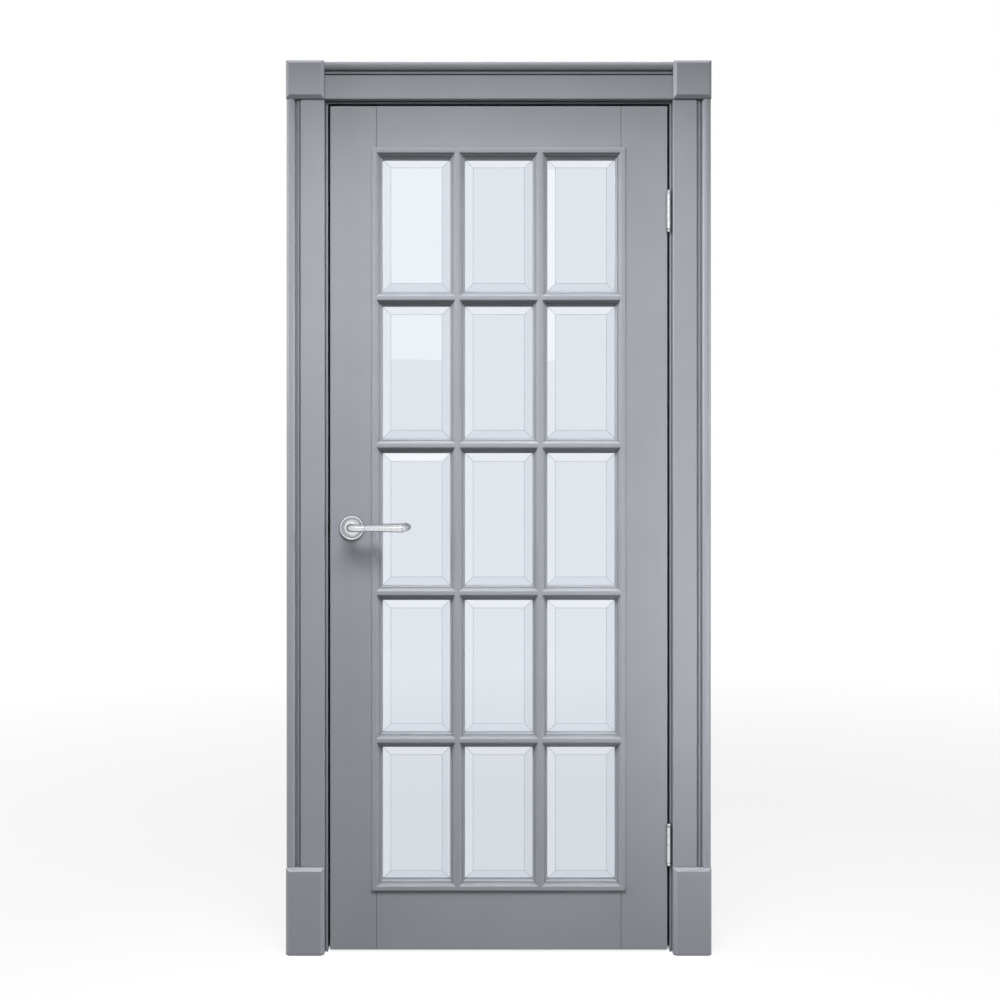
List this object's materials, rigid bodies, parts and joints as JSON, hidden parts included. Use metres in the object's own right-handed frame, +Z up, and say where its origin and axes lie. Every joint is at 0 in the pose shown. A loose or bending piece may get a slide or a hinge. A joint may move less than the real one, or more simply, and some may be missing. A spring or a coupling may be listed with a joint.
{
  "type": "glazed door",
  "caption": "Hinged interior door with bevelled panes in a moulded lattice, hung in a lined frame with casings, corner blocks, plinth blocks and a lever handle.",
  "frame": {"origin": "on the hinge jamb's outer face, at floor level, in the plane of the front wall face", "axes": "+X out of the hinge jamb into the wall, +Y through the doorway from front to back, +Z up"},
  "size_m": [1.002, 0.1877, 2.106],
  "materials": {
    "paint": "satin grey enamel paint",
    "chrome": "bright polished plate",
    "glass": "clear, bevelled",
    "seal": "soft matt"
  },
  "bodies": {
    "frame": {"back_casing_head": "paint", "back_casing_left": "paint", "back_casing_right": "paint", "back_corner_block_left": "paint", "back_corner_block_right": "paint", "back_plinth_left": "paint", "back_plinth_right": "paint", "frame_seal": "seal", "front_casing_head": "paint", "front_casing_left": "paint", "front_casing_right": "paint", "front_corner_block_left": "paint", "front_corner_block_right": "paint", "front_plinth_left": "paint", "front_plinth_right": "paint", "head_jamb": "paint", "head_stop": "paint", "hinge_frame_halves": "chrome", "hinge_jamb": "paint", "latch_jamb": "paint", "side_stops": "paint", "strike_plate": "chrome"},
    "leaf": {"back_bars_horizontal": "paint", "back_bars_vertical": "paint", "back_moulding_ends": "paint", "back_moulding_sides": "paint", "back_rose": "chrome", "bottom_rail": "paint", "front_bars_horizontal": "paint", "front_bars_vertical": "paint", "front_moulding_ends": "paint", "front_moulding_sides": "paint", "front_rose": "chrome", "glass_row_1": "glass", "glass_row_2": "glass", "glass_row_3": "glass", "glass_row_4": "glass", "glass_row_5": "glass", "hinge_leaf_halves": "chrome", "hinge_stile": "paint", "latch_faceplate": "chrome", "latch_stile": "paint", "top_rail": "paint"},
    "handle": {"front_lever": "chrome", "back_lever": "chrome", "spindle": "chrome"}
  },
  "joints": [
    {"name": "leaf_swing", "type": "hinge", "parent": "frame", "child": "leaf", "pos_m": [-0.0325, -0.0055, 0], "axis": [0, 0, 1], "range_deg": [0, 115]},
    {"name": "lever_turn", "type": "hinge", "parent": "leaf", "child": "handle", "pos_m": [-0.783, 0, 1.005], "axis": [0, 1, 0], "range_deg": [0, 40], "stiffness_Nm_per_rad": 2, "springref_deg": -20.05}
  ]
}
